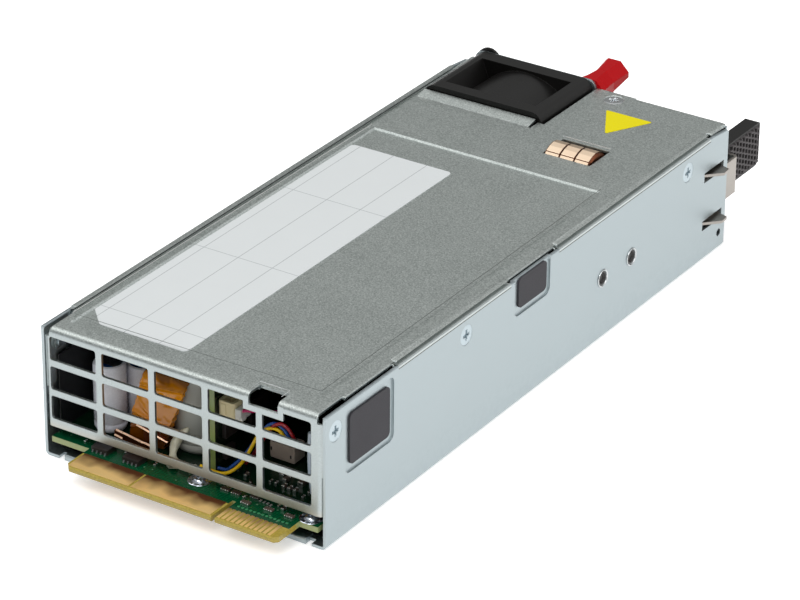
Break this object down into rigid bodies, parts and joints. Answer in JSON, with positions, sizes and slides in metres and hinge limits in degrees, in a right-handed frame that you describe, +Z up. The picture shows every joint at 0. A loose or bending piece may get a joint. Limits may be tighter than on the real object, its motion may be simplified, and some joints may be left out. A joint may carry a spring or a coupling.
{
  "type": "hot swap server power supply",
  "caption": "Flat steel-cased plug-in power supply with a ventilated connector end, an edge connector, a small cooling fan, a finger grip and a sprung side latch.",
  "frame": {"origin": "middle of the bottom edge of the connector-end face", "axes": "+Y runs from the connector end to the handle end, +Z up from the underside, +X to the latch side; the supply slides into its bay along -Y"},
  "size_m": [0.0892, 0.2392, 0.0403],
  "materials": {
    "aluminium": "satin",
    "amber_tape": "gloss",
    "black_insulation": "gloss",
    "black_plastic": "satin",
    "blue_insulation": "gloss",
    "bonded_magnet": "matte",
    "bronze": "satin",
    "can_sleeve": "gloss",
    "circuit_board": "satin",
    "copper": "polished",
    "cover_steel": "satin",
    "epoxy": "matte",
    "fan_plastic": "satin",
    "ferrite": "matte",
    "glue": "matte",
    "gold": "polished",
    "ground_steel": "polished",
    "inlet_plastic": "satin",
    "insulating_film": "satin",
    "label_film": "satin",
    "lamination": "satin",
    "light_pipe": "gloss",
    "nickel": "polished",
    "nylon": "matte",
    "pad_foam": "matte",
    "red_insulation": "gloss",
    "red_plastic": "satin",
    "rotor_plastic": "satin",
    "screw_steel": "satin",
    "solder": "polished",
    "spring_steel": "satin",
    "sticker_film": "satin",
    "tall_sleeve": "gloss",
    "taupe_plastic": "matte",
    "tray_steel": "satin",
    "winding": "satin",
    "yellow_insulation": "gloss"
  },
  "bodies": {
    "case": {"blue_lead": "blue_insulation", "board_screws": "screw_steel", "board_standoffs": "screw_steel", "boost_choke": "winding", "chassis_tray": "tray_steel", "chip_parts": "taupe_plastic", "chips": "epoxy", "contact_fingers": "copper", "copper_straps": "copper", "fan_bearings": "bronze", "fan_frame": "fan_plastic", "fan_lead": "black_insulation", "fan_plug": "nylon", "fan_rivets": "black_plastic", "fan_stator": "lamination", "filter_capacitor": "amber_tape", "glue_bead": "glue", "grip_screws": "screw_steel", "heatsink": "aluminium", "inlet_body": "inlet_plastic", "inlet_leads": "black_insulation", "inlet_pins": "nickel", "insulator_film": "insulating_film", "latch_eyelets": "screw_steel", "latch_leaf": "spring_steel", "line_filter_choke": "winding", "main_board": "circuit_board", "mains_fuse": "nylon", "output_capacitors": "can_sleeve", "output_core": "ferrite", "panel_rivets": "screw_steel", "power_devices": "epoxy", "power_lands": "gold", "rating_label": "label_film", "rear_panel": "tray_steel", "rear_top_screw": "screw_steel", "red_grip": "red_plastic", "red_lead": "red_insulation", "reservoir_capacitor": "can_sleeve", "riser_board": "circuit_board", "sense_relay": "taupe_plastic", "side_pads": "pad_foam", "side_screws": "screw_steel", "signal_fingers": "gold", "solder_joints": "solder", "status_light": "light_pipe", "tall_capacitor": "tall_sleeve", "taped_coil": "amber_tape", "top_cover": "cover_steel", "transformer_core": "ferrite", "transformer_winding": "winding", "triangle_sticker": "sticker_film", "wire_plug": "nylon", "wire_socket": "nylon", "yellow_lead": "yellow_insulation"},
    "fan_wheel": {"fan_rotor": "rotor_plastic", "fan_magnet": "bonded_magnet", "fan_shaft": "ground_steel"},
    "latch": {"latch_arm": "spring_steel", "thumb_grip": "black_plastic"}
  },
  "joints": [
    {"name": "fan_spin", "type": "hinge", "parent": "case", "child": "fan_wheel", "pos_m": [-0.0203, 0.1862, 0.0203], "axis": [0, 1, 0], "continuous": true},
    {"name": "latch_press", "type": "hinge", "parent": "case", "child": "latch", "pos_m": [0.042, 0.154, 0.0185], "axis": [0, 0, 1], "range_deg": [0, 5], "stiffness_Nm_per_rad": 5, "springref_deg": -2.86}
  ]
}
